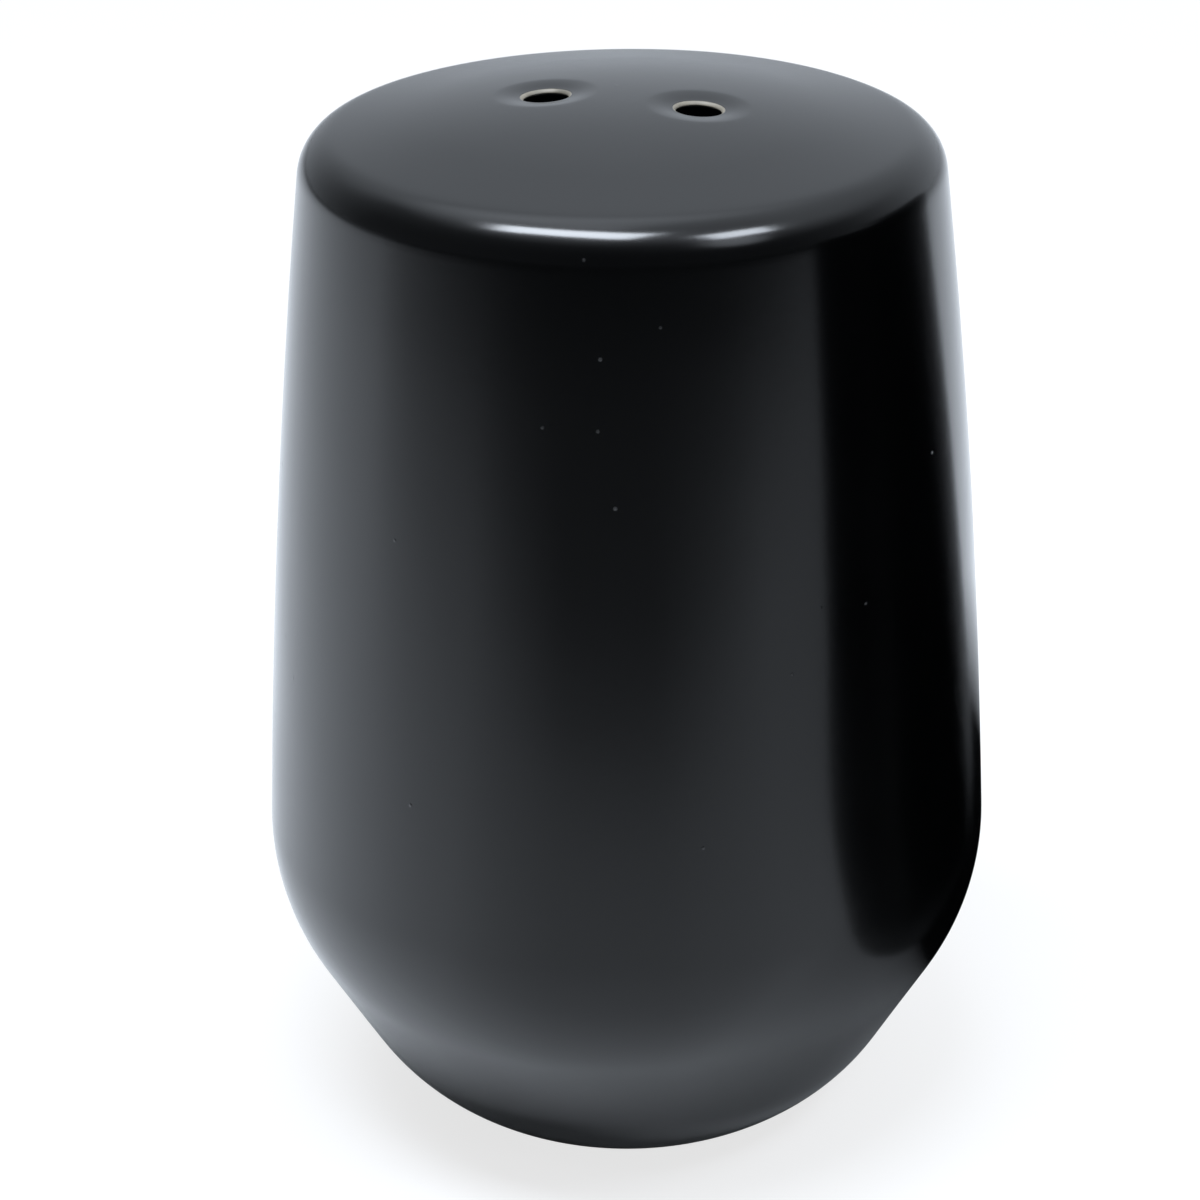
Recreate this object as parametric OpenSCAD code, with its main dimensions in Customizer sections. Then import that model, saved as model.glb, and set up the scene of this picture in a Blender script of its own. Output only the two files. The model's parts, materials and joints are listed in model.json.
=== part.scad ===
// Ceramic salt or pepper shaker with a round tapering body, two sift holes and a base stopper.
// Millimetres. The origin is the middle of the base at the height of the table, and +Z is up.
// The two sift holes lie along X.

/* [Body] */
// Width across the belly's corner, before the corner is rounded
belly_w = 50.5; // [47:0.5:54]
// Height of the belly's corner
belly_z = 17; // [16:0.5:19]
// Radius that rounds the belly
belly_round = 16.5; // [14:0.5:17]
// Width across the shoulder's corner, before the corner is rounded
shoulder_w = 41.5; // [39:0.5:44]
// Height of the shoulder's corner
shoulder_z = 69.8; // [64:0.1:76]
// Radius that rounds the shoulder
shoulder_round = 2.9; // [2:0.1:3.5]
// How far the side wall bows outwards halfway up
side_bow = 0.8; // [0.4:0.1:1.2]
// Rise of the crown above the shoulder's corner
crown_rise = 2.3; // [1.4:0.1:2.8]
// Thickness of the clay
wall = 3.5; // [3:0.1:4]

/* [Base] */
// Outer width of the ring it stands on
foot_w = 25; // [24.5:0.5:27]
// Width of the recess inside the foot ring
recess_w = 19.6; // [19:0.2:20.4]
// Depth of the recess
recess_depth = 6; // [5.6:0.1:6.5]
// Diameter of the fill hole
fill_hole_d = 14; // [12:0.5:14.5]

/* [Sift holes] */
// Diameter of each sift hole
sift_d = 2.9; // [2:0.1:3.4]
// Distance between the two sift holes
sift_spacing = 10.4; // [9:0.2:13]
// Depth of the shallow dish around each hole
dish_depth = 0.3; // [0.1:0.05:0.4]
// Radius of the rounded lip at each hole's mouth
lip_round = 0.45; // [0.2:0.05:0.6]

/* [Stopper] */
// Radial gap between the sealing ribs and the fill hole
seal_gap = 0.05; // [0.02:0.01:0.1]
// Thickness of the flange
flange_t = 1.6; // [1.2:0.1:1.8]
// Thickness of the barrel's wall
barrel_wall = 1.4; // [1.2:0.1:1.8]
// Thickness of the finger tab
tab_t = 2.4; // [2:0.1:3]

/* [Hidden] */
$fn = 96;

ceramic_colour = [0.06, 0.065, 0.075];
stopper_colour = [0.78, 0.77, 0.73];

// Rounded outlines: the largest turn and the longest chord of one straight piece.
arc_turn = 5;
arc_chord = 6;

// Outside of the body.
belly_r = belly_w / 2;
shoulder_r = shoulder_w / 2;
crown_z = shoulder_z + crown_rise;
knee_r = shoulder_r / 3;
foot_r = foot_w / 2;
heel_r = foot_r + 4.5;
heel_z = 2.4;
heel_round = 15.5;
edge_round = 0.6;
side_middle = [(belly_r + shoulder_r) / 2 + side_bow, (belly_z + shoulder_z) / 2];
side_radius = bow_radius([belly_r, belly_z], side_middle, [shoulder_r, shoulder_z]);
crown_flat_r = 0.05;
crown_turn = atan2(crown_rise, shoulder_r - knee_r);
crown_radius = (knee_r - crown_flat_r) / tan(crown_turn / 2);

// Inside of the body.
recess_r = recess_w / 2;
fill_r = fill_hole_d / 2;
floor_z = recess_depth + wall;
floor_corner_r = foot_r + 5.2;
floor_round = 5.5;
roof_z = crown_z - wall;
roof_round = 4;
inner_shoulder_r = shoulder_r - wall;
inner_shoulder_z = shoulder_z - wall;
inner_belly_r = belly_r - wall;
inner_belly_z = belly_z + 1.4;
inner_belly_round = belly_round - wall;
inner_middle = [side_middle[0] - wall, side_middle[1]];
inner_side_radius = bow_radius(
    [inner_belly_r, inner_belly_z], inner_middle, [inner_shoulder_r, inner_shoulder_z]);

// Sift holes: each one stands square to the crown, so it leans out by this angle.
sift_r = sift_d / 2;
sift_lean = asin(sift_spacing / 2 / crown_radius);
dish_r = sift_r + 1.8;
dish_sphere_r = (dish_r * dish_r + dish_depth * dish_depth) / (2 * dish_depth);
lip_r = sift_r + lip_round;
lip_z = lip_r * lip_r / (2 * dish_sphere_r) - dish_depth;

// Stopper.
bearing_gap = 0.05;
rib_r = fill_r - seal_gap;
barrel_r = rib_r - 0.6;
cup_r = barrel_r - barrel_wall;
flange_r = recess_r - 0.6;
flange_top = recess_depth - bearing_gap;
flange_bottom = flange_top - flange_t;
stopper_top = floor_z + 1.9;
cup_floor = flange_top + 0.6;
rib_land = 0.5;
rib_slope = 0.5;
rib_heights = [recess_depth + 1.35, recess_depth + 2.65];
tab_w = 11.4;
tab_lift = 0.4;

function unit(v) = v / norm(v);

// Radius that rounds a wide corner at b over most of the way to a and c.
function bow_radius(a, b, c) =
    let (turn = 180 - acos(unit(a - b) * unit(c - b)))
    0.72 * norm(c - b) / tan(turn / 2);

// Arc that rounds the corner b of the path a, b, c.
function corner_arc(a, b, c, radius) =
    let (
        back = unit(a - b),
        ahead = unit(c - b),
        turn = 180 - acos(back * ahead),
        way = sign(cross(-back, ahead)),
        centre = b + unit(back + ahead) * radius / cos(turn / 2),
        start = b + back * radius * tan(turn / 2) - centre,
        first = atan2(start[1], start[0]),
        steps = max(2, ceil(turn / arc_turn), ceil(turn * PI / 180 * radius / arc_chord))
    )
    [for (i = [0 : steps])
        let (angle = first + way * turn * i / steps)
        centre + radius * [cos(angle), sin(angle)]];

// Closed outline from corners [r, z, rounding radius]; a radius of 0 keeps the corner sharp.
function rounded(corners) =
    let (
        count = len(corners),
        at = [for (c = corners) [c[0], c[1]]]
    )
    [for (i = [0 : count - 1])
        each corners[i][2] == 0
            ? [at[i]]
            : corner_arc(at[(i + count - 1) % count], at[i], at[(i + 1) % count], corners[i][2])];

// Section of the clay, from the fill hole round the outside and back along the inside.
body_section = [
    [fill_r, recess_depth, edge_round],
    [recess_r, recess_depth, edge_round],
    [recess_r, 0, edge_round],
    [foot_r, 0, edge_round],
    [heel_r, heel_z, heel_round],
    [belly_r, belly_z, belly_round],
    [side_middle[0], side_middle[1], side_radius],
    [shoulder_r, shoulder_z, shoulder_round],
    [knee_r, crown_z, crown_radius],
    [0, crown_z, 0],
    [0, roof_z, 0],
    [knee_r, roof_z, crown_radius / 2],
    [inner_shoulder_r, inner_shoulder_z, roof_round],
    [inner_middle[0], inner_middle[1], inner_side_radius],
    [inner_belly_r, inner_belly_z, inner_belly_round],
    [floor_corner_r, floor_z, floor_round],
    [fill_r, floor_z, edge_round],
];

// Section of one sealing rib, upwards from the barrel at height z.
function rib_corners(z) = [
    [barrel_r, z - rib_land / 2 - rib_slope, 0],
    [rib_r, z - rib_land / 2, 0],
    [rib_r, z + rib_land / 2, 0],
    [barrel_r, z + rib_land / 2 + rib_slope, 0],
];

stopper_section = [
    [0, flange_bottom, 0],
    [flange_r, flange_bottom, 0.6],
    [flange_r, flange_top, 0.4],
    [barrel_r, flange_top, 0.25],
    each rib_corners(rib_heights[0]),
    each rib_corners(rib_heights[1]),
    [barrel_r, stopper_top - 1, 0],
    [barrel_r - 0.4, stopper_top, 0.3],
    [cup_r, stopper_top, 0.3],
    [cup_r, cup_floor, 0.8],
    [0, cup_floor, 0],
];

// One sift hole's cutter on its own axis, with z = 0 at the crown's surface.
module sift_cutter() {
    translate([0, 0, -2 * wall])
        cylinder(r = sift_r, h = 3 * wall);
    translate([0, 0, dish_sphere_r - dish_depth])
        sphere(r = dish_sphere_r);
    rotate_extrude()
        polygon([
            [0, lip_z - lip_round],
            each corner_arc([sift_r, lip_z - 1], [sift_r, lip_z], [lip_r + 1, lip_z], lip_round),
            [lip_r, wall],
            [0, wall],
        ]);
}

// One-piece shell: side, crown, floor and foot ring.
module ceramic_body() {
    color(ceramic_colour)
        difference() {
            rotate_extrude()
                polygon(rounded(body_section));
            for (side = [-1, 1])
                translate([0, 0, crown_z - crown_radius])
                    rotate([0, side * sift_lean, 0])
                        translate([0, 0, crown_radius])
                            sift_cutter();
        }
}

// Soft bung: a hollow ribbed barrel, a flange in the recess and a half-round finger tab.
module stopper() {
    color(stopper_colour) {
        rotate_extrude()
            polygon(rounded(stopper_section));
        finger_tab();
    }
}

// Half-round tab that hangs from the flange and stays clear of the table.
module finger_tab() {
    drop = flange_bottom - tab_lift;
    radius = (drop * drop + tab_w * tab_w / 4) / (2 * drop);
    intersection() {
        translate([0, tab_t / 2, tab_lift + radius])
            rotate([90, 0, 0])
                cylinder(r = radius, h = tab_t);
        translate([-tab_w, -tab_t, tab_lift - 1])
            cube([2 * tab_w, 2 * tab_t, drop + 1 + flange_t / 2]);
    }
}

ceramic_body();
stopper();
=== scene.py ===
"""A satin black ceramic shaker: two sift holes in the crown and a soft stopper in the base.

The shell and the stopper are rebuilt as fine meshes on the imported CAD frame.  Lengths are in
millimetres until a mesh is made, which turns them into metres.
"""
import json
import math

import bmesh
import bpy
import numpy as np
from mathutils import Matrix, Quaternion, Vector, geometry, noise


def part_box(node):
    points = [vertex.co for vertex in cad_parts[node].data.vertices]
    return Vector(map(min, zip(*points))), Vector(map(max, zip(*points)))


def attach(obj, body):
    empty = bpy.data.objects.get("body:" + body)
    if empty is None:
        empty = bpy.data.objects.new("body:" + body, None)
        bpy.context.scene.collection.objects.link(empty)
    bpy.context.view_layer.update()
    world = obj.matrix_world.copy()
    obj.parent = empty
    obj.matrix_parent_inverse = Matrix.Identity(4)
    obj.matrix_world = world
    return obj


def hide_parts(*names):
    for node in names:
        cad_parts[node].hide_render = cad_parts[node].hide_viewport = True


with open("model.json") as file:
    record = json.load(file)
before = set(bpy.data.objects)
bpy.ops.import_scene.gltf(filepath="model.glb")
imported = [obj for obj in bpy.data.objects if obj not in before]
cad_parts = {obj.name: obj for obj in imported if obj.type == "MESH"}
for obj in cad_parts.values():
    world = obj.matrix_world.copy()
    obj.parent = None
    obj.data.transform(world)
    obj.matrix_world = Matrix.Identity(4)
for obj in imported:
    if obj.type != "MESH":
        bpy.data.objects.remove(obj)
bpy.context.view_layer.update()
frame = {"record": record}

MM = 0.001
SHELL, BUNG = "ceramic_body", "stopper"
SHELL_BODY, BUNG_BODY = "shaker", "plug"

# ---------------------------------------------------------------- sizes from the frame
bung_low, bung_high = (np.array(v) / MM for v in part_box(BUNG))
TOP_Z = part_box(SHELL)[1][2] / MM
FLANGE_R = bung_high[0]
TAB_TIP_Z = bung_low[2]
BUNG_TOP_Z = bung_high[2]
sift_mounts = [m for m in frame["record"]["mounts"] if m["kind"] == "bore"]
SIFT_R = sift_mounts[0]["dims"]["r_mm"]

# ---------------------------------------------------------------- the shell's section
# Corners of the outline as (radius, height, rounding), the same as the CAD body's.
WALL = 3.5
CROWN_RISE = 2.3
SHOULDER = (20.75, TOP_Z - CROWN_RISE, 2.9)
BELLY = (25.25, 17.0, 16.5)
SIDE_BOW = 0.8            # how far the side bows outwards halfway up
BOW_SHARE = 0.72          # share of the way to its neighbour over which a bowed corner bends
HEEL = (17.0, 2.4, 15.5)
FOOT_R = 12.5
RECESS_R = 9.8
RECESS_Z = 6.0
FILL_R = 7.0
FLOOR_Z = RECESS_Z + WALL
EDGE = 0.6                # rounding of the base's edges
KNEE_R = SHOULDER[0] / 3
CROWN_R = KNEE_R / math.tan(math.atan2(CROWN_RISE, SHOULDER[0] - KNEE_R) / 2)
CROWN_SHARE = 0.98        # share of that radius used, so that the arc ends short of the axis
ROOF_Z = TOP_Z - WALL
INNER_BELLY = (BELLY[0] - WALL, BELLY[1] + 1.4, BELLY[2] - WALL)
INNER_SHOULDER = (SHOULDER[0] - WALL, SHOULDER[1] - WALL, 4.0)
FLOOR_CORNER = (FOOT_R + 5.2, FLOOR_Z, 5.5)

ARC_TURN, ARC_STEP = 4.0, 0.4            # largest turn in degrees and longest step of an arc
FINE_STEP = 0.05                         # spacing of the whole outline's points at first
SOFT_SPREAD = 0.22                       # spread of the blur that evens out its curvature
OUTSIDE_STEP, OUTSIDE_TURN = 0.8, 3.5    # longest step and largest turn of the final rows
INSIDE_STEP, INSIDE_TURN = 1.6, 6.0

AROUND = 280              # points around the shell
CROWN_CUT = 15.0          # inside this radius the crown is a free mesh with the two holes in it
ROOF_CUT = 14.0           # the same for the underside of the crown
CROWN_SPACING, ROOF_SPACING = 0.45, 0.9  # between the points of these free meshes
ROW_GAP = 0.866           # from row to row in a grid of equal triangles, for a spacing of 1
HOLE_AROUND = 80          # points around a sift hole
DISH_R = SIFT_R + 2.0     # where the soft dish around a hole begins
DISH_DEPTH = 0.22
DISH_CURVE = 1.4          # a power over 1 makes the dish begin softly
LIP = 0.38                # rounding at a hole's mouth
WEAR_BEGINS = (0.3, 0.5)  # the worn glaze fades in and out between these sines of the lip's turn
WEAR_ENDS = (0.88, 0.96)
LIP_CLEAR = 0.04          # from the lip to the first ring of the straight bore
BORE_END = WALL - 0.35    # depth at which the straight bore ends
BORE_ROUND = 0.3          # rounding at the bore's inner end
DISH_ROWS, LIP_ROWS, BORE_ROWS = 18, 15, 8
CROWN_REACH = 0.4         # this far out from the lip a ring follows the crown in full
INSIDE_FROM = (0.6, 1.6)  # depths in the bore between which the inside's duller glaze begins


def arc_corner(a, b, c, radius):
    """Points of the arc that rounds the corner b of the path a, b, c."""
    a, b, c = (np.array(p, float) for p in (a, b, c))
    back, ahead = (a - b) / np.linalg.norm(a - b), (c - b) / np.linalg.norm(c - b)
    turn = math.pi - math.acos(np.clip(back @ ahead, -1, 1))
    middle = back + ahead
    centre = b + middle / np.linalg.norm(middle) * radius / math.cos(turn / 2)
    start = b + back * radius * math.tan(turn / 2) - centre
    way = np.sign(-back[0] * ahead[1] + back[1] * ahead[0])
    first = math.atan2(start[1], start[0])
    steps = max(4, math.ceil(math.degrees(turn) / ARC_TURN), math.ceil(turn * radius / ARC_STEP))
    angles = first + way * turn * np.arange(steps + 1) / steps
    return centre + radius * np.stack([np.cos(angles), np.sin(angles)], 1)


def rounded(corners):
    """Outline from open corners (r, z, rounding); the two ends stay as they are."""
    points = [np.array(corners[0][:2], float)[None]]
    for a, b, c in zip(corners, corners[1:], corners[2:]):
        sharp = np.array([b[:2]], float)
        points.append(arc_corner(a[:2], b[:2], c[:2], b[2]) if b[2] else sharp)
    points.append(np.array(corners[-1][:2], float)[None])
    return np.vstack(points)


def bow_radius(a, b, c):
    """Rounding that bends the wide corner b over most of the way to its neighbours."""
    a, b, c = (np.array(p[:2], float) for p in (a, b, c))
    turn = math.pi - math.acos((a - b) @ (c - b) / np.linalg.norm(a - b) / np.linalg.norm(c - b))
    return BOW_SHARE * np.linalg.norm(c - b) / math.tan(turn / 2)


def resample(points, spacing):
    """The same polyline with evenly spaced points."""
    gaps = np.linalg.norm(np.diff(points, axis=0), axis=1)
    run = np.concatenate([[0], np.cumsum(gaps)])
    keep = np.concatenate([[True], gaps > 1e-9])
    count = max(2, round(run[-1] / spacing))
    at = np.linspace(0, run[-1], count + 1)
    return np.stack([np.interp(at, run[keep], points[keep, k]) for k in (0, 1)], 1)


def soften(points, spread, spacing):
    """Blurs a finely spaced outline, so that its curvature changes without steps."""
    half = int(4 * spread / spacing)
    weights = np.exp(-0.5 * (np.arange(-half, half + 1) * spacing / spread) ** 2)
    weights /= weights.sum()
    before = 2 * points[0] - points[half:0:-1]
    after = 2 * points[-1] - points[-2:-half - 2:-1]
    padded = np.vstack([before, points, after])
    return np.stack([np.convolve(padded[:, k], weights, "valid") for k in (0, 1)], 1)


def thin_out(points, longest, turn_step):
    """Keeps more points where the outline bends and fewer where it is nearly straight."""
    steps = np.diff(points, axis=0)
    angles = np.unwrap(np.arctan2(steps[:, 1], steps[:, 0]))
    bend = np.abs(np.diff(angles, prepend=angles[0]))
    cost = np.cumsum(np.linalg.norm(steps, axis=1) / longest + np.degrees(bend) / turn_step)
    cost = np.concatenate([[0], cost])
    wanted = np.linspace(0, cost[-1], math.ceil(cost[-1]) + 1)
    return np.stack([np.interp(wanted, cost, points[:, k]) for k in (0, 1)], 1)


def shell_outline():
    """The section, from the crown's middle down the outside and back inside to the roof's."""
    middle = ((BELLY[0] + SHOULDER[0]) / 2 + SIDE_BOW, (BELLY[1] + SHOULDER[1]) / 2)
    inner_middle = (middle[0] - WALL, middle[1])
    corners = [
        (0, TOP_Z, 0),
        (KNEE_R, TOP_Z, CROWN_R * CROWN_SHARE),
        SHOULDER,
        (*middle, bow_radius(BELLY, middle, SHOULDER)),
        BELLY,
        HEEL,
        (FOOT_R, 0, EDGE),
        (RECESS_R, 0, EDGE),
        (RECESS_R, RECESS_Z, EDGE),
        (FILL_R, RECESS_Z, EDGE),
        (FILL_R, FLOOR_Z, EDGE),
        FLOOR_CORNER,
        INNER_BELLY,
        (*inner_middle, bow_radius(INNER_BELLY, inner_middle, INNER_SHOULDER)),
        INNER_SHOULDER,
        (KNEE_R, ROOF_Z, CROWN_R / 2),
        (0, ROOF_Z, 0),
    ]
    return soften(resample(rounded(corners), FINE_STEP), SOFT_SPREAD, FINE_STEP)


outline = shell_outline()
top_end = int(np.argmax(outline[:, 0] >= CROWN_CUT))
last_wide = len(outline) - 1 - int(np.argmax(outline[::-1, 0] >= ROOF_CUT))
crown_line = outline[:top_end + 1]
roof_line = outline[last_wide:]
foot_start = int(np.argmin(outline[:, 1]))
outside_line = thin_out(outline[top_end:foot_start + 1], OUTSIDE_STEP, OUTSIDE_TURN)
inside_line = thin_out(outline[foot_start:last_wide + 1], INSIDE_STEP, INSIDE_TURN)
turned_line = np.vstack([outside_line, inside_line[1:]])


def height_on(line, radius):
    """Height of the crown or roof surface at a radius."""
    order = np.argsort(line[:, 0])
    return np.interp(radius, line[order, 0], line[order, 1])


# ---------------------------------------------------------------- mesh making
SLOW_PUSH, SLOW_SIZE, SLOW_STRETCH = 0.045, 16.0, 0.6   # the cast wall's wide, shallow waves
QUICK_PUSH, QUICK_SIZE = 0.010, 6.0                     # and its finer ones
QUICK_SHIFT = Vector((7, 3, 1))                         # keeps the two from falling together
EVEN_BELOW, UNEVEN_FROM = 1.5, 9.0                      # heights between which they fade in
TOP_BAND = 3.5                                          # this near the top they fade out again
TOP_FADE = 5.0                                          # over this width round the free mesh
FOOT_BAND = 1.0                                         # height up to which clay may be bare
GLAZE_LINE, GLAZE_WAVER, GLAZE_WAVE = 0.22, 0.10, 2.2   # the glaze edge's height and its waves
GLAZE_BLEND = 0.05                                      # half that edge's width
BESIDE = 0.5                                            # slack in telling the base's parts apart


class Build:
    """Collects vertices, faces and per-vertex values, then makes one object."""

    def __init__(self):
        self.points, self.faces, self.values = [], [], {}

    def add(self, points, **values):
        """Adds points and returns their numbers."""
        first = len(self.points)
        self.points.extend(map(tuple, points))
        for name, value in values.items():
            column = self.values.setdefault(name, {})
            for k, v in enumerate(np.broadcast_to(value, len(points))):
                column[first + k] = float(v)
        return list(range(first, first + len(points)))

    def bridge(self, ring, following):
        """Quads between two closed rings with as many points each."""
        count = len(ring)
        for k in range(count):
            n = (k + 1) % count
            self.faces.append((ring[k], ring[n], following[n], following[k]))

    def make(self, name):
        mesh = bpy.data.meshes.new(name)
        mesh.from_pydata([Vector(p) * MM for p in self.points], [], self.faces)
        for label, column in self.values.items():
            layer = mesh.attributes.new(label, "FLOAT", "POINT")
            data = np.zeros(len(self.points), np.float32)
            data[list(column)] = list(column.values())
            layer.data.foreach_set("value", data)
        face_outwards(mesh)
        mesh.shade_smooth()
        piece = bpy.data.objects.new(name, mesh)
        bpy.context.collection.objects.link(piece)
        return piece


def face_outwards(mesh):
    """Turns every face of a closed mesh outwards."""
    work = bmesh.new()
    work.from_mesh(mesh)
    bmesh.ops.recalc_face_normals(work, faces=work.faces)
    work.to_mesh(mesh)
    work.free()


def ring_points(radius, height, count=AROUND):
    angles = np.arange(count) * 2 * math.pi / count
    return np.stack([radius * np.cos(angles), radius * np.sin(angles), np.full(count, height)], 1)


def smooth_step(low, high, value):
    t = np.clip((value - low) / (high - low), 0, 1)
    return t * t * (3 - 2 * t)


def wobble(points, outwards):
    """Faint unevenness of a cast and glazed wall, along outwards, which is (radial, upward)."""
    out = points.copy()
    for k, p in enumerate(points):
        slow = noise.noise(Vector((p[0], p[1], p[2] * SLOW_STRETCH)) / SLOW_SIZE)
        quick = noise.noise(Vector((p[0], p[1], p[2])) / QUICK_SIZE + QUICK_SHIFT)
        push = SLOW_PUSH * slow + QUICK_PUSH * quick
        radial = np.array([p[0], p[1], 0]) / max(math.hypot(p[0], p[1]), 1e-6)
        out[k] = p + push * (radial * outwards[0] + np.array([0, 0, outwards[1]]))
    return out


# ---------------------------------------------------------------- sift holes
class SiftHole:
    """One hole in the crown: axis, middle on the crown's surface and two directions across it."""

    def __init__(self, mount):
        self.axis = np.array(mount["axis"], float)
        at = np.array(mount["pos_m"], float) / MM
        reach = np.linspace(-4, 6, 2001)            # mm from the mount's own place
        line = at + reach[:, None] * self.axis
        gap = np.abs(line[:, 2] - height_on(crown_line, np.hypot(line[:, 0], line[:, 1])))
        self.middle = line[np.argmin(gap)]
        across = np.cross([0, 1, 0], self.axis)
        self.across = across / np.linalg.norm(across)
        self.ahead = np.cross(self.axis, self.across)

    def ring(self, radius, drop):
        """A ring around the axis: outside the lip it follows the crown, drop below it."""
        angles = np.arange(HOLE_AROUND) * 2 * math.pi / HOLE_AROUND
        flat = (self.middle + radius * np.cos(angles)[:, None] * self.across
                + radius * np.sin(angles)[:, None] * self.ahead)
        lift = height_on(crown_line, np.hypot(flat[:, 0], flat[:, 1])) - flat[:, 2]
        follow = smooth_step(SIFT_R * 0.98, SIFT_R + LIP + CROWN_REACH, radius)
        return flat + np.array([0, 0, 1.0]) * (lift * follow)[:, None] - self.axis * drop


def dish_drop(radius):
    """How far the dish around a hole lies below the crown."""
    t = np.clip((radius - SIFT_R - LIP) / (DISH_R - SIFT_R - LIP), 0, 1)
    return DISH_DEPTH * (1 - t) ** DISH_CURVE


def add_hole(build, hole):
    """The dish, lip and bore of a hole; returns its outer ring on the crown and its inner one."""
    radii = np.linspace(DISH_R, SIFT_R + LIP, DISH_ROWS)
    rows = [(radius, dish_drop(radius), 0.0) for radius in radii]
    lip_top = dish_drop(SIFT_R + LIP)
    for angle in np.radians(np.linspace(6, 90, LIP_ROWS)):
        across = math.sin(angle)
        worn = smooth_step(*WEAR_BEGINS, across) * (1 - smooth_step(*WEAR_ENDS, across))
        rows.append((SIFT_R + LIP * (1 - across), lip_top + LIP * (1 - math.cos(angle)), worn))
    for drop in np.linspace(lip_top + LIP + LIP_CLEAR, BORE_END, BORE_ROWS):
        rows.append((SIFT_R, drop, 0.0))
    for angle in np.radians((30, 60, 90)):
        radius = SIFT_R + BORE_ROUND * (1 - math.cos(angle))
        rows.append((radius, BORE_END + BORE_ROUND * math.sin(angle), 0.0))
    rings = []
    for radius, drop, worn in rows:
        inside = smooth_step(*INSIDE_FROM, drop)
        rings.append(build.add(hole.ring(radius, drop), lip=worn, inside=inside))
    for ring, following in zip(rings, rings[1:]):
        build.bridge(ring, following)
    return rings[0], rings[-1]


def fill_between(build, outer, holes, line, spacing, inside):
    """Triangulates the crown or roof between its outer ring and the holes' rings."""
    loops = [outer, *holes]
    spots = [build.points[k][:2] for loop in loops for k in loop]
    numbers = [k for loop in loops for k in loop]
    edges, first = [], 0
    for loop in loops:
        count = len(loop)
        edges += [(first + k, first + (k + 1) % count) for k in range(count)]
        first += count
    reach = math.hypot(*build.points[outer[0]][:2])
    centres = [np.mean([build.points[k][:2] for k in loop], axis=0) for loop in holes]
    radii = [math.dist(build.points[loop[0]][:2], c) for loop, c in zip(holes, centres)]
    margin = 0.55 * spacing                         # keeps the grid's points off the rings
    rows = int(reach / (spacing * ROW_GAP)) + 1
    for row in range(-rows, rows + 1):
        for column in range(-rows - 1, rows + 2):
            spot = np.array([(column + 0.5 * (row % 2)) * spacing, row * spacing * ROW_GAP])
            clear = [np.linalg.norm(spot - c) > r + margin for c, r in zip(centres, radii)]
            if np.linalg.norm(spot) < reach - margin and all(clear):
                new = build.add([(*spot, height_on(line, np.linalg.norm(spot)))], inside=inside)
                numbers += new
                spots.append(tuple(spot))
    result = geometry.delaunay_2d_cdt([Vector(s) for s in spots], edges, [], 0, 1e-7)
    sources = [origin[0] for origin in result[3]]
    rims = [set(loop) for loop in holes]
    for face in result[2]:
        corners = tuple(numbers[sources[k]] for k in face)
        in_hole = any(rim.issuperset(corners) for rim in rims)
        if not in_hole:
            build.faces.append(corners)


# ---------------------------------------------------------------- the shell
def wave_share(radius, height):
    """How much of the outside's waves shows: none at the foot or by the crown's free mesh."""
    share = float(smooth_step(EVEN_BELOW, UNEVEN_FROM, height))
    if height > TOP_Z - TOP_BAND:
        share *= float(smooth_step(CROWN_CUT, CROWN_CUT + TOP_FADE, radius))
    return share


def bare_foot(spots):
    """1 on the wiped foot ring and 0 on the glaze, with an uneven line between them."""
    out = np.zeros(len(spots))
    for k, p in enumerate(spots):
        line = GLAZE_LINE + GLAZE_WAVER * noise.noise(Vector((p[0], p[1], 0)) / GLAZE_WAVE)
        out[k] = 1 - smooth_step(line - GLAZE_BLEND, line + GLAZE_BLEND, p[2])
    return out


def make_shell():
    """The whole shell as one closed mesh."""
    build = Build()
    rings = []
    ahead = np.gradient(turned_line, axis=0)
    ahead /= np.linalg.norm(ahead, axis=1)[:, None]
    for k, (radius, height) in enumerate(turned_line):
        spots = ring_points(radius, height)
        outside = k < len(outside_line) - 1
        if outside:
            share = wave_share(radius, height)
            spots = wobble(spots, (share * -ahead[k][1], share * ahead[k][0]))
        on_foot = height < FOOT_BAND and radius > RECESS_R - BESIDE
        in_recess = radius > FILL_R and height < RECESS_Z + BESIDE
        bare = bare_foot(spots) if on_foot else 0.0
        inside = 0.0 if outside or in_recess else 1.0
        rings.append(build.add(spots, bare=bare, inside=inside))
    for ring, following in zip(rings, rings[1:]):
        build.bridge(ring, following)
    holes = [add_hole(build, SiftHole(mount)) for mount in sift_mounts]
    fill_between(build, rings[0], [h[0] for h in holes], crown_line, CROWN_SPACING, 0.0)
    fill_between(build, rings[-1], [h[1] for h in holes], roof_line, ROOF_SPACING, 1.0)
    return build.make("shell_glazed")


# ---------------------------------------------------------------- stopper
FLANGE_BOTTOM, FLANGE_TOP = 4.35, 5.95
HOLLOW_R, HOLLOW_RIM_R = 6.6, 6.9        # shallow hollow under the flange
HOLLOW_DEPTH = 0.15
BARREL_R, RIB_R, CUP_R, CUP_FLOOR = 6.35, 6.93, 4.95, 6.55
LEAD_IN_R, LEAD_IN = 0.4, 1.0            # how the barrel narrows towards its top, and from where
RIB_HEIGHTS = (7.35, 8.65)
RIB_LAND, RIB_FOOT = 0.2, 0.75           # half a rib's height at its rim and at the barrel
TAB_W, TAB_T = 11.4, 2.4
TAB_TAPER = 0.05                         # what each face loses per mm below the flange
TAB_ROOT = 0.6                           # how far the tab reaches up into the flange
STOPPER_AROUND = 180
STOPPER_VOXEL = 0.12


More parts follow.
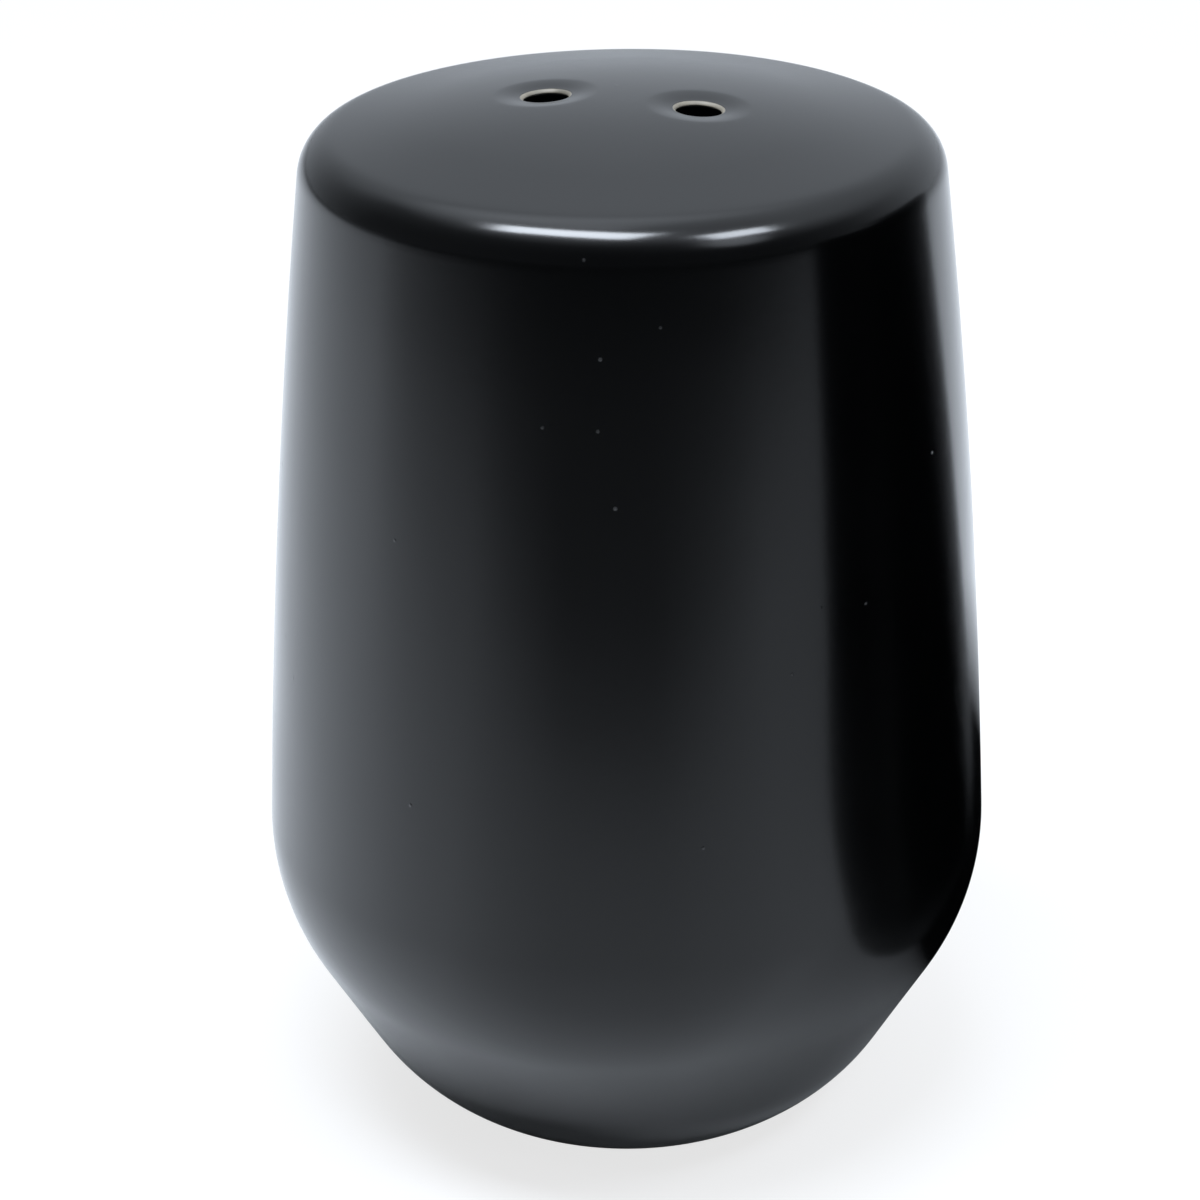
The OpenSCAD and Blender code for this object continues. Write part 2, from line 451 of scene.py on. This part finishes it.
def stopper_outline():
    """Section of the turned part of the stopper, from the flange's middle to the cup's."""
    ribs = []
    for z in RIB_HEIGHTS:
        ribs += [(BARREL_R, z - RIB_FOOT, 0), (RIB_R, z - RIB_LAND, 0.15),
                 (RIB_R, z + RIB_LAND, 0.15), (BARREL_R, z + RIB_FOOT, 0)]
    return rounded([
        (0, FLANGE_BOTTOM + HOLLOW_DEPTH, 0),
        (HOLLOW_R, FLANGE_BOTTOM + HOLLOW_DEPTH, 0.2),
        (HOLLOW_RIM_R, FLANGE_BOTTOM, 0.2),
        (FLANGE_R, FLANGE_BOTTOM, 0.6),
        (FLANGE_R, FLANGE_TOP, 0.4),
        (BARREL_R, FLANGE_TOP, 0.2),
        *ribs,
        (BARREL_R, BUNG_TOP_Z - LEAD_IN, 0.3),
        (BARREL_R - LEAD_IN_R, BUNG_TOP_Z, 0.3),
        (CUP_R, BUNG_TOP_Z, 0.3),
        (CUP_R, CUP_FLOOR, 0.8),
        (0, CUP_FLOOR, 0),
    ])


def turned_solid(line, count):
    """Closed bmesh turned from an outline whose two ends lie on the axis."""
    work = bmesh.new()
    ends = [work.verts.new((0, 0, line[k][1])) for k in (0, -1)]
    rings = [[work.verts.new(p) for p in ring_points(r, z, count)] for r, z in line[1:-1]]
    for ring, following in zip(rings, rings[1:]):
        for k in range(count):
            n = (k + 1) % count
            work.faces.new((ring[k], ring[n], following[n], following[k]))
    for end, ring in zip(ends, (rings[0], rings[-1])):
        for k in range(count):
            work.faces.new((end, ring[k], ring[(k + 1) % count]))
    bmesh.ops.recalc_face_normals(work, faces=work.faces)
    return work


def tab_solid():
    """Half-round finger tab as a closed bmesh, thinner towards its rim."""
    drop = FLANGE_BOTTOM - TAB_TIP_Z
    radius = (drop ** 2 + TAB_W ** 2 / 4) / (2 * drop)
    centre = TAB_TIP_Z + radius
    half = math.asin(TAB_W / 2 / radius)
    profile = [(TAB_W / 2, FLANGE_BOTTOM + TAB_ROOT)]
    for angle in np.linspace(-half, half, 49)[::-1]:
        profile.append((radius * math.sin(angle), centre - radius * math.cos(angle)))
    profile.append((-TAB_W / 2, FLANGE_BOTTOM + TAB_ROOT))
    work = bmesh.new()
    sides = []
    for side in (-1, 1):
        face = []
        for x, z in profile:
            below = FLANGE_BOTTOM - min(z, FLANGE_BOTTOM)
            face.append(work.verts.new((x, side * (TAB_T / 2 - TAB_TAPER * below), z)))
        sides.append(face)
    work.faces.new(sides[0])
    work.faces.new(sides[1][::-1])
    for k in range(len(profile)):
        n = (k + 1) % len(profile)
        work.faces.new((sides[0][k], sides[1][k], sides[1][n], sides[0][n]))
    bmesh.ops.recalc_face_normals(work, faces=work.faces)
    return work


def object_from(work, name):
    """An object in the scene from a bmesh, which is freed."""
    mesh = bpy.data.meshes.new(name)
    work.to_mesh(mesh)
    work.free()
    made = bpy.data.objects.new(name, mesh)
    bpy.context.collection.objects.link(made)
    return made


def with_modifiers(obj):
    """The object's mesh with its modifiers applied."""
    bpy.context.view_layer.update()
    evaluated = obj.evaluated_get(bpy.context.evaluated_depsgraph_get())
    return bpy.data.meshes.new_from_object(evaluated)


def make_stopper():
    """Moulded stopper: the turned part and the tab in one skin, with soft edges."""
    turned = object_from(turned_solid(stopper_outline(), STOPPER_AROUND), "turned")
    tab = object_from(tab_solid(), "tab")
    union = turned.modifiers.new("union", "BOOLEAN")
    union.operation, union.solver, union.object = "UNION", "EXACT", tab
    remesh = turned.modifiers.new("remesh", "REMESH")
    remesh.mode, remesh.voxel_size = "VOXEL", STOPPER_VOXEL
    relax = turned.modifiers.new("relax", "SMOOTH")
    relax.factor, relax.iterations = 0.5, 4
    mesh = with_modifiers(turned)
    mesh.transform(Matrix.Scale(MM, 4))
    mesh.shade_smooth()
    for helper in (turned, tab):
        bpy.data.objects.remove(helper)
    piece = bpy.data.objects.new("stopper_moulded", mesh)
    bpy.context.collection.objects.link(piece)
    return piece


# ---------------------------------------------------------------- materials
class Nodes:
    """Short calls for building a node tree, which starts empty."""

    def __init__(self, owner, output="OutputMaterial"):
        owner.use_nodes = True
        self.owner, self.tree = owner, owner.node_tree
        self.tree.nodes.clear()
        self.output = self.node(output)

    def node(self, kind, settings=None, **inputs):
        """A node; settings are its properties, and inputs are its sockets by name."""
        made = self.tree.nodes.new("ShaderNode" + kind)
        for key, value in (settings or {}).items():
            setattr(made, key, value)
        for key, value in inputs.items():
            self.feed(made.inputs[key.replace("_", " ")], value)
        return made

    def feed(self, socket, value):
        """Links another node's socket to this one, or sets a plain value."""
        if isinstance(value, bpy.types.NodeSocket):
            self.tree.links.new(value, socket)
        else:
            socket.default_value = value

    def place(self):
        """Coordinates in the object's own space, in metres."""
        return self.node("TexCoord").outputs["Object"]

    def noise(self, scale, detail=2.0, roughness=0.5):
        made = self.node("TexNoise", Scale=scale, Detail=detail, Roughness=roughness,
                         Vector=self.place())
        return made.outputs["Fac"]

    def attribute(self, label):
        return self.node("Attribute", {"attribute_name": label}).outputs["Fac"]

    def span(self, value, low, high, to_low, to_high):
        """Maps low to high onto to_low to to_high, and holds the ends beyond them."""
        made = self.node("MapRange")
        for name, v in zip(("Value", "From Min", "From Max", "To Min", "To Max"),
                           (value, low, high, to_low, to_high)):
            self.feed(made.inputs[name], v)
        return made.outputs["Result"]

    def mix_colour(self, share, first, second):
        made = self.node("Mix", {"data_type": "RGBA"})
        for number, value in zip((0, 6, 7), (share, first, second)):
            self.feed(made.inputs[number], value)
        return made.outputs[2]

    def mix_value(self, share, first, second):
        made = self.node("Mix")
        for number, value in zip((0, 2, 3), (share, first, second)):
            self.feed(made.inputs[number], value)
        return made.outputs[0]

    def mix_shader(self, share, first, second):
        """The first shader where share is 0 and the second where it is 1."""
        made = self.node("MixShader")
        for number, value in enumerate((share, first.outputs[0], second.outputs[0])):
            self.feed(made.inputs[number], value)
        return made

    def maths(self, operation, first, second=0.0):
        made = self.node("Math", {"operation": operation})
        self.feed(made.inputs[0], first)
        self.feed(made.inputs[1], second)
        return made.outputs[0]

    def finish(self, shader):
        """Makes shader the tree's surface and returns the material or world."""
        self.feed(self.output.inputs["Surface"], shader.outputs[0])
        return self.owner


def material_nodes(name):
    return Nodes(bpy.data.materials.new(name))


def rgb(*value):
    return (*value, 1.0)


# Colours are linear.  A noise scale counts waves per metre, and a bump distance is in metres.
GLAZE_TONES = rgb(0.0002, 0.00025, 0.0003), rgb(0.0006, 0.0007, 0.0008)
CLAY_TONES = rgb(0.30, 0.26, 0.21), rgb(0.46, 0.41, 0.34)
LIP_TONE = rgb(0.27, 0.24, 0.19)
SPECK_TONE = rgb(0.03, 0.03, 0.03)
GLAZE_ROUGH = 0.155, 0.185
INSIDE_ROUGH, LIP_ROUGH, BARE_ROUGH = 0.30, 0.50, 0.85
SPECK_CELLS = 900.0       # cells per metre that may hold a speck
SPECK_RARITY = 0.975      # share of the cells without one
SILICONE_TONES = rgb(0.54, 0.53, 0.49), rgb(0.63, 0.62, 0.58)
SILICONE_ROUGH = 0.42, 0.58


def glaze_material():
    """Satin black glaze, with a thin warm line at the sift holes and a bare foot ring."""
    n = material_nodes("black_glaze")
    lip, bare, inside = (n.attribute(label) for label in ("lip", "bare", "inside"))
    cloud = n.noise(90, 3)
    grain = n.noise(2600, 3, 0.7)
    thin = n.maths("MULTIPLY", lip, n.span(n.noise(900, 2), 0.3, 0.7, 0.6, 1.0))

    cells = n.node("TexVoronoi", Scale=SPECK_CELLS, Vector=n.place())
    lot = n.node("SeparateColor", Color=cells.outputs["Color"]).outputs[0]
    chosen = n.maths("GREATER_THAN", lot, SPECK_RARITY)
    round_dot = n.span(cells.outputs["Distance"], 0.05, 0.14, 1.0, 0.0)
    speck = n.maths("MULTIPLY", round_dot, chosen)

    tone = n.mix_colour(cloud, *GLAZE_TONES)
    tone = n.mix_colour(thin, tone, LIP_TONE)
    tone = n.mix_colour(bare, tone, n.mix_colour(grain, *CLAY_TONES))
    tone = n.mix_colour(speck, tone, SPECK_TONE)

    satin = n.span(cloud, 0.3, 0.7, *GLAZE_ROUGH)
    satin = n.mix_value(inside, satin, INSIDE_ROUGH)
    satin = n.mix_value(lip, satin, LIP_ROUGH)
    satin = n.mix_value(bare, satin, BARE_ROUGH)

    peel = n.node("Bump", Strength=0.05, Distance=0.00004, Height=n.noise(1500, 2, 0.6))
    dots = n.node("Bump", Strength=0.5, Distance=0.00006, Height=speck, Normal=peel.outputs[0])
    grit = n.node("Bump", Distance=0.00006, Height=grain, Normal=dots.outputs[0])
    n.feed(grit.inputs["Strength"], n.maths("MULTIPLY", bare, 0.6))
    return n.finish(n.node("BsdfPrincipled", Base_Color=tone, Roughness=satin,
                           Normal=grit.outputs[0], IOR=1.5))


def silicone_material():
    """Milky grey silicone with a matt moulded skin."""
    n = material_nodes("silicone")
    tone = n.mix_colour(n.noise(220, 2), *SILICONE_TONES)
    matt = n.span(n.noise(500, 3), 0.3, 0.7, *SILICONE_ROUGH)
    skin = n.node("Bump", Strength=0.15, Distance=0.00003, Height=n.noise(5200, 2, 0.6))
    return n.finish(n.node("BsdfPrincipled", Base_Color=tone, Roughness=matt,
                           Normal=skin.outputs[0], IOR=1.41, Subsurface_Weight=0.35,
                           Subsurface_Radius=(1.0, 0.95, 0.85), Subsurface_Scale=0.0015))


# ---------------------------------------------------------------- studio
VIEW_AZIMUTH = 18.5       # the camera's place round the object, in degrees from -Y towards +X
VIEW_ELEVATION = 24.95
VIEW_DISTANCE = 221.0     # from the object's middle
VIEW_ROLL = -0.6
SENSOR, LENS = 36.0, 96.2
AIM_RIGHT, AIM_UP = -1.735, 0.36   # where the picture's middle lies from the object's middle


def heading(azimuth, elevation=0.0):
    """Direction from the object, azimuth 0 towards the camera and growing to its right."""
    a, e = math.radians(VIEW_AZIMUTH + azimuth), math.radians(elevation)
    return Vector((math.sin(a) * math.cos(e), -math.cos(a) * math.cos(e), math.sin(e)))


def add_camera():
    middle = Vector((0, 0, TOP_Z / 2))
    back = heading(0, VIEW_ELEVATION)
    turn = (-back).to_track_quat("-Z", "Y")
    aim = middle + turn @ Vector((AIM_RIGHT, AIM_UP, 0))
    place = middle + back * VIEW_DISTANCE
    data = bpy.data.cameras.new("camera")
    data.sensor_width, data.lens = SENSOR, LENS
    data.clip_start, data.clip_end = 0.01, 20
    camera = bpy.data.objects.new("camera", data)
    camera.rotation_mode = "QUATERNION"
    camera.location = place * MM
    look = (aim - place).to_track_quat("-Z", "Y")
    camera.rotation_quaternion = look @ Quaternion((0, 0, 1), math.radians(VIEW_ROLL))
    bpy.context.collection.objects.link(camera)
    bpy.context.scene.camera = camera


# Name, azimuth, elevation, azimuth of the long side, width and height in metres, radiance.
LAMPS = (
    ("key", -39.7, 73.4, 62, 0.36, 0.155, 20.6),
    ("second", 54.5, 54.7, 132, 0.18, 0.125, 15.9),
)
LAMP_DISTANCE = 0.6       # metres from the object's middle
LIGHT_TINT = (0.925, 1.0, 1.10, 1.0)


def add_area_light(name, azimuth, elevation, long_way, width, height, radiance):
    """A soft box that faces the object from LAMP_DISTANCE; its long side runs along long_way."""
    data = bpy.data.lights.new(name, "AREA")
    data.shape, data.size, data.size_y = "RECTANGLE", width, height
    data.energy = radiance * math.pi * width * height
    data.color = LIGHT_TINT[:3]
    lamp = bpy.data.objects.new(name, data)
    out = heading(azimuth, elevation)
    across = out.cross(heading(long_way)).normalized()
    lamp.location = Vector((0, 0, TOP_Z / 2 * MM)) + out * LAMP_DISTANCE
    lamp.rotation_mode = "QUATERNION"
    axes = Matrix((across.cross(out), across, out)).transposed()
    lamp.rotation_quaternion = axes.to_quaternion()
    bpy.context.collection.objects.link(lamp)


STAGE_HALF_SIDE = 3.0     # metres


def stage_mesh(name, points, faces, material):
    """A stage piece.  It goes down with the pulled stopper, as if the shell were lifted off."""
    mesh = bpy.data.meshes.new(name)
    mesh.from_pydata(points, [], faces)
    mesh.materials.append(material)
    piece = bpy.data.objects.new(name, mesh)
    bpy.context.collection.objects.link(piece)
    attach(piece, BUNG_BODY)
    return piece


def stage_sheet(name, height, material):
    """A level square sheet around the object; height is in metres."""
    side = STAGE_HALF_SIDE
    corners = [(-side, -side, height), (side, -side, height), (side, side, height),
               (-side, side, height)]
    return stage_mesh(name, corners, [(0, 1, 2, 3)], material)


def reflection_only(piece):
    """Leaves a piece to the glaze's reflections alone."""
    piece.visible_camera = piece.visible_diffuse = piece.visible_shadow = False
    piece.visible_transmission = piece.visible_volume_scatter = False


def along(n, place, azimuth, elevation=0.0):
    """How far a place lies in a direction from the object."""
    made = n.node("VectorMath", {"operation": "DOT_PRODUCT"})
    n.feed(made.inputs[0], place)
    made.inputs[1].default_value = heading(azimuth, elevation)
    return made.outputs["Value"]


def curve_of(n, value, stops):
    """A level that follows value through (value, level) stops, given in rising order."""
    curve = n.node("ValToRGB")
    elements = curve.color_ramp.elements
    low, high = stops[0][0], stops[-1][0]
    for k, (at, level) in enumerate(stops):
        inner = 0 < k < len(stops) - 1
        element = elements.new((at - low) / (high - low)) if inner else elements[-1 if k else 0]
        element.color = rgb(level, level, level)
    n.feed(curve.inputs[0], n.span(value, low, high, 0.0, 1.0))
    return curve.outputs[0]


PAPER_TONES = rgb(0.855, 0.855, 0.855), rgb(0.885, 0.885, 0.885)
SHADOW_LIFT = 0.75                       # how much of the floor's shadow the camera doesn't see


def floor_material():
    """Pale paper; the camera sees its shadows lightened, and sees through it from below.

    Under the foot it lets light through, so that the base can be looked at from below.
    """
    n = material_nodes("floor_paper")
    tone = n.mix_colour(n.noise(40, 4), *PAPER_TONES)
    paper = n.node("BsdfPrincipled", Base_Color=tone, Roughness=0.9, Specular_IOR_Level=0.1)
    glow = n.node("Emission", Color=rgb(1, 1, 1), Strength=1.0)
    camera = n.node("LightPath").outputs["Is Camera Ray"]
    lifted = n.mix_shader(n.maths("MULTIPLY", camera, SHADOW_LIFT), paper, glow)
    behind = n.node("NewGeometry").outputs["Backfacing"]
    reach = n.node("VectorMath", {"operation": "LENGTH"}, Vector=n.place()).outputs["Value"]
    covered = n.maths("LESS_THAN", reach, FOOT_R * MM)
    clear = n.mix_value(camera, covered, behind)
    return n.finish(n.mix_shader(clear, lifted, n.node("BsdfTransparent")))


FORM_AZIMUTH, FORM_APART = 78.6, 52.1    # where the form's axis stands: direction and mm
FORM_AROUND = 96
FORM_STEP, FORM_TURN = 3.0, 10.0         # its rows' longest step and largest turn


def add_black_form():
    """A glossy black turned form beside the object, as its pair would stand."""
    n = material_nodes("black_form")
    black = n.finish(n.node("BsdfPrincipled", Base_Color=rgb(0.001, 0.001, 0.001),
                            Roughness=0.25, IOR=1.35))
    line = thin_out(outline[:foot_start + 1], FORM_STEP, FORM_TURN)[1:]
    axis = heading(FORM_AZIMUTH) * FORM_APART
    points = [((x + axis.x) * MM, (y + axis.y) * MM, z * MM)
              for radius, height in line for x, y, z in ring_points(radius, height, FORM_AROUND)]
    faces = [tuple(range(FORM_AROUND))]
    for k in range(len(line) - 1):
        for j in range(FORM_AROUND):
            a, b = k * FORM_AROUND + j, k * FORM_AROUND + (j + 1) % FORM_AROUND
            faces.append((a, a + FORM_AROUND, b + FORM_AROUND, b))
    form = stage_mesh("black_form", points, faces, black)
    form.data.shade_smooth()
    reflection_only(form)


# The shade card's levels of table light.  Places are in metres from the object, to the camera's
# right and away from the camera.  A slant is right over away: negative in front to the right.
CARD_HEIGHT = 0.0003      # metres above the floor
CARD_AWAY = ((-1.0, 0.04), (-0.5, 0.045), (-0.3, 0.21), (-0.2, 0.38), (-0.15, 0.46), (-0.1, 0.55),
             (-0.05, 0.77), (-0.02, 0.96), (0.0, 1.0))
CARD_LEFT = ((-0.9, 0.3), (-0.45, 1.0))
FORM_SHADE_SLANT = ((-1.6, 0.38), (-1.0, 0.26), (-0.35, 0.05), (0.0, 0.0))
FORM_SHADE_AWAY = ((-0.21, 0.0), (-0.12, 0.4), (-0.07, 1.0), (-0.04, 1.0), (0.0, 0.0))
FRONT_SLANT = 0.09                       # middle of the dim sector in front of the object
FRONT_SHADE_WIDTH = ((0.25, 1.0), (0.65, 0.5), (1.0, 0.0))
FRONT_SHADE_AWAY = ((-0.5, 0.0), (-0.3, 0.55), (-0.2, 0.76), (-0.15, 0.62), (-0.1, 0.26),
                    (-0.04, 0.25), (-0.02, 0.0))
FORM_FOOT = (0.050, 0.022)               # right and away: the middle of the dark at its foot
FORM_FOOT_SHADE = ((0.028, 0.0), (0.040, 0.4), (0.062, 1.0))


def add_shade_card():
    """Lies on the table and dims it for the glaze: less light towards the camera and the form."""
    n = material_nodes("shade_card")
    place = n.place()
    right, away = (along(n, place, azimuth) for azimuth in (90, 180))
    slant = n.maths("DIVIDE", right, n.maths("MINIMUM", away, -0.001))
    off_middle = n.maths("ABSOLUTE", n.maths("SUBTRACT", slant, FRONT_SLANT))

    def times(first, second):
        return n.maths("MULTIPLY", first, second)

    offsets = [n.maths("SUBTRACT", value, at) for value, at in zip((right, away), FORM_FOOT)]
    from_form = n.maths("SQRT", n.maths("ADD", *(times(value, value) for value in offsets)))
    by_form = times(curve_of(n, slant, FORM_SHADE_SLANT), curve_of(n, away, FORM_SHADE_AWAY))
    in_front = times(curve_of(n, off_middle, FRONT_SHADE_WIDTH),
                     curve_of(n, away, FRONT_SHADE_AWAY))
    light = times(curve_of(n, away, CARD_AWAY), curve_of(n, right, CARD_LEFT))
    light = times(light, n.maths("SUBTRACT", 1.0, by_form))
    light = times(light, n.maths("SUBTRACT", 1.0, in_front))
    light = times(light, curve_of(n, from_form, FORM_FOOT_SHADE))
    dark = n.node("BsdfDiffuse", Color=rgb(0.001, 0.001, 0.001))
    cover = n.maths("SUBTRACT", 1.0, light)
    material = n.finish(n.mix_shader(cover, n.node("BsdfTransparent"), dark))
    reflection_only(stage_sheet("shade_card", CARD_HEIGHT, material))


# The room's levels as the glaze sees it, by azimuth from the camera: low down, halfway and high.
ROOM_LOW = ((-180, 0.70), (-140, 0.45), (-100, 0.12), (-60, 0.10), (0, 0.055), (60, 0.08),
            (85, 0.18), (105, 0.42), (130, 0.68), (180, 0.70))
ROOM_HALFWAY = ((-180, 0.92), (-140, 0.80), (-115, 0.25), (-60, 0.12), (0, 0.10), (60, 0.25),
                (80, 0.70), (100, 0.92), (140, 0.80), (180, 0.92))
ROOM_HIGH = ((-180, 1.85), (-150, 2.1), (-120, 1.6), (-90, 0.7), (0, 0.5), (60, 0.8), (100, 0.95),
             (140, 1.1), (180, 1.85))
LOW_TO_HALFWAY, HALFWAY_TO_HIGH = (26.0, 44.0), (44.0, 62.0)   # elevations
WINDOW_AZIMUTH, WINDOW_ELEVATION = 45, 39
WINDOW_GLOW = ((0.977, 0.0), (0.995, 2.0))                     # by the cosine from its middle


def add_world():
    """Pale for the camera; for the glaze a room, dark in front and light behind and above."""
    world = bpy.data.worlds.new("room")
    bpy.context.scene.world = world
    n = Nodes(world, "OutputWorld")
    place = n.node("TexCoord").outputs["Generated"]
    right, near = (along(n, place, azimuth) for azimuth in (90, 0))
    azimuth = n.maths("MULTIPLY", n.maths("ARCTAN2", right, near), 180 / math.pi)
    upward = n.node("SeparateXYZ", Vector=place).outputs["Z"]
    rise = n.maths("MULTIPLY", n.maths("ARCSINE", upward), 180 / math.pi)
    low, halfway, high = (curve_of(n, azimuth, stops)
                          for stops in (ROOM_LOW, ROOM_HALFWAY, ROOM_HIGH))
    level = n.mix_value(n.span(rise, *LOW_TO_HALFWAY, 0.0, 1.0), low, halfway)
    level = n.mix_value(n.span(rise, *HALFWAY_TO_HIGH, 0.0, 1.0), level, high)
    window = curve_of(n, along(n, place, WINDOW_AZIMUTH, WINDOW_ELEVATION), WINDOW_GLOW)
    room = n.node("Background", Color=LIGHT_TINT, Strength=n.maths("ADD", level, window))
    pale = n.node("Background", Color=rgb(1, 1, 1), Strength=1.0)
    n.finish(n.mix_shader(n.node("LightPath").outputs["Is Camera Ray"], room, pale))


def add_studio():
    stage_sheet("floor", 0.0, floor_material())
    add_black_form()
    add_shade_card()
    for lamp in LAMPS:
        add_area_light(*lamp)


# ---------------------------------------------------------------- the scene
add_camera()
bpy.context.scene.view_settings.view_transform = "Standard"

shell = make_shell()
shell.data.materials.append(glaze_material())
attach(shell, SHELL_BODY)
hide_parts(SHELL)

bung = make_stopper()
bung.data.materials.append(silicone_material())
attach(bung, BUNG_BODY)
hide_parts(BUNG)

add_world()
add_studio()
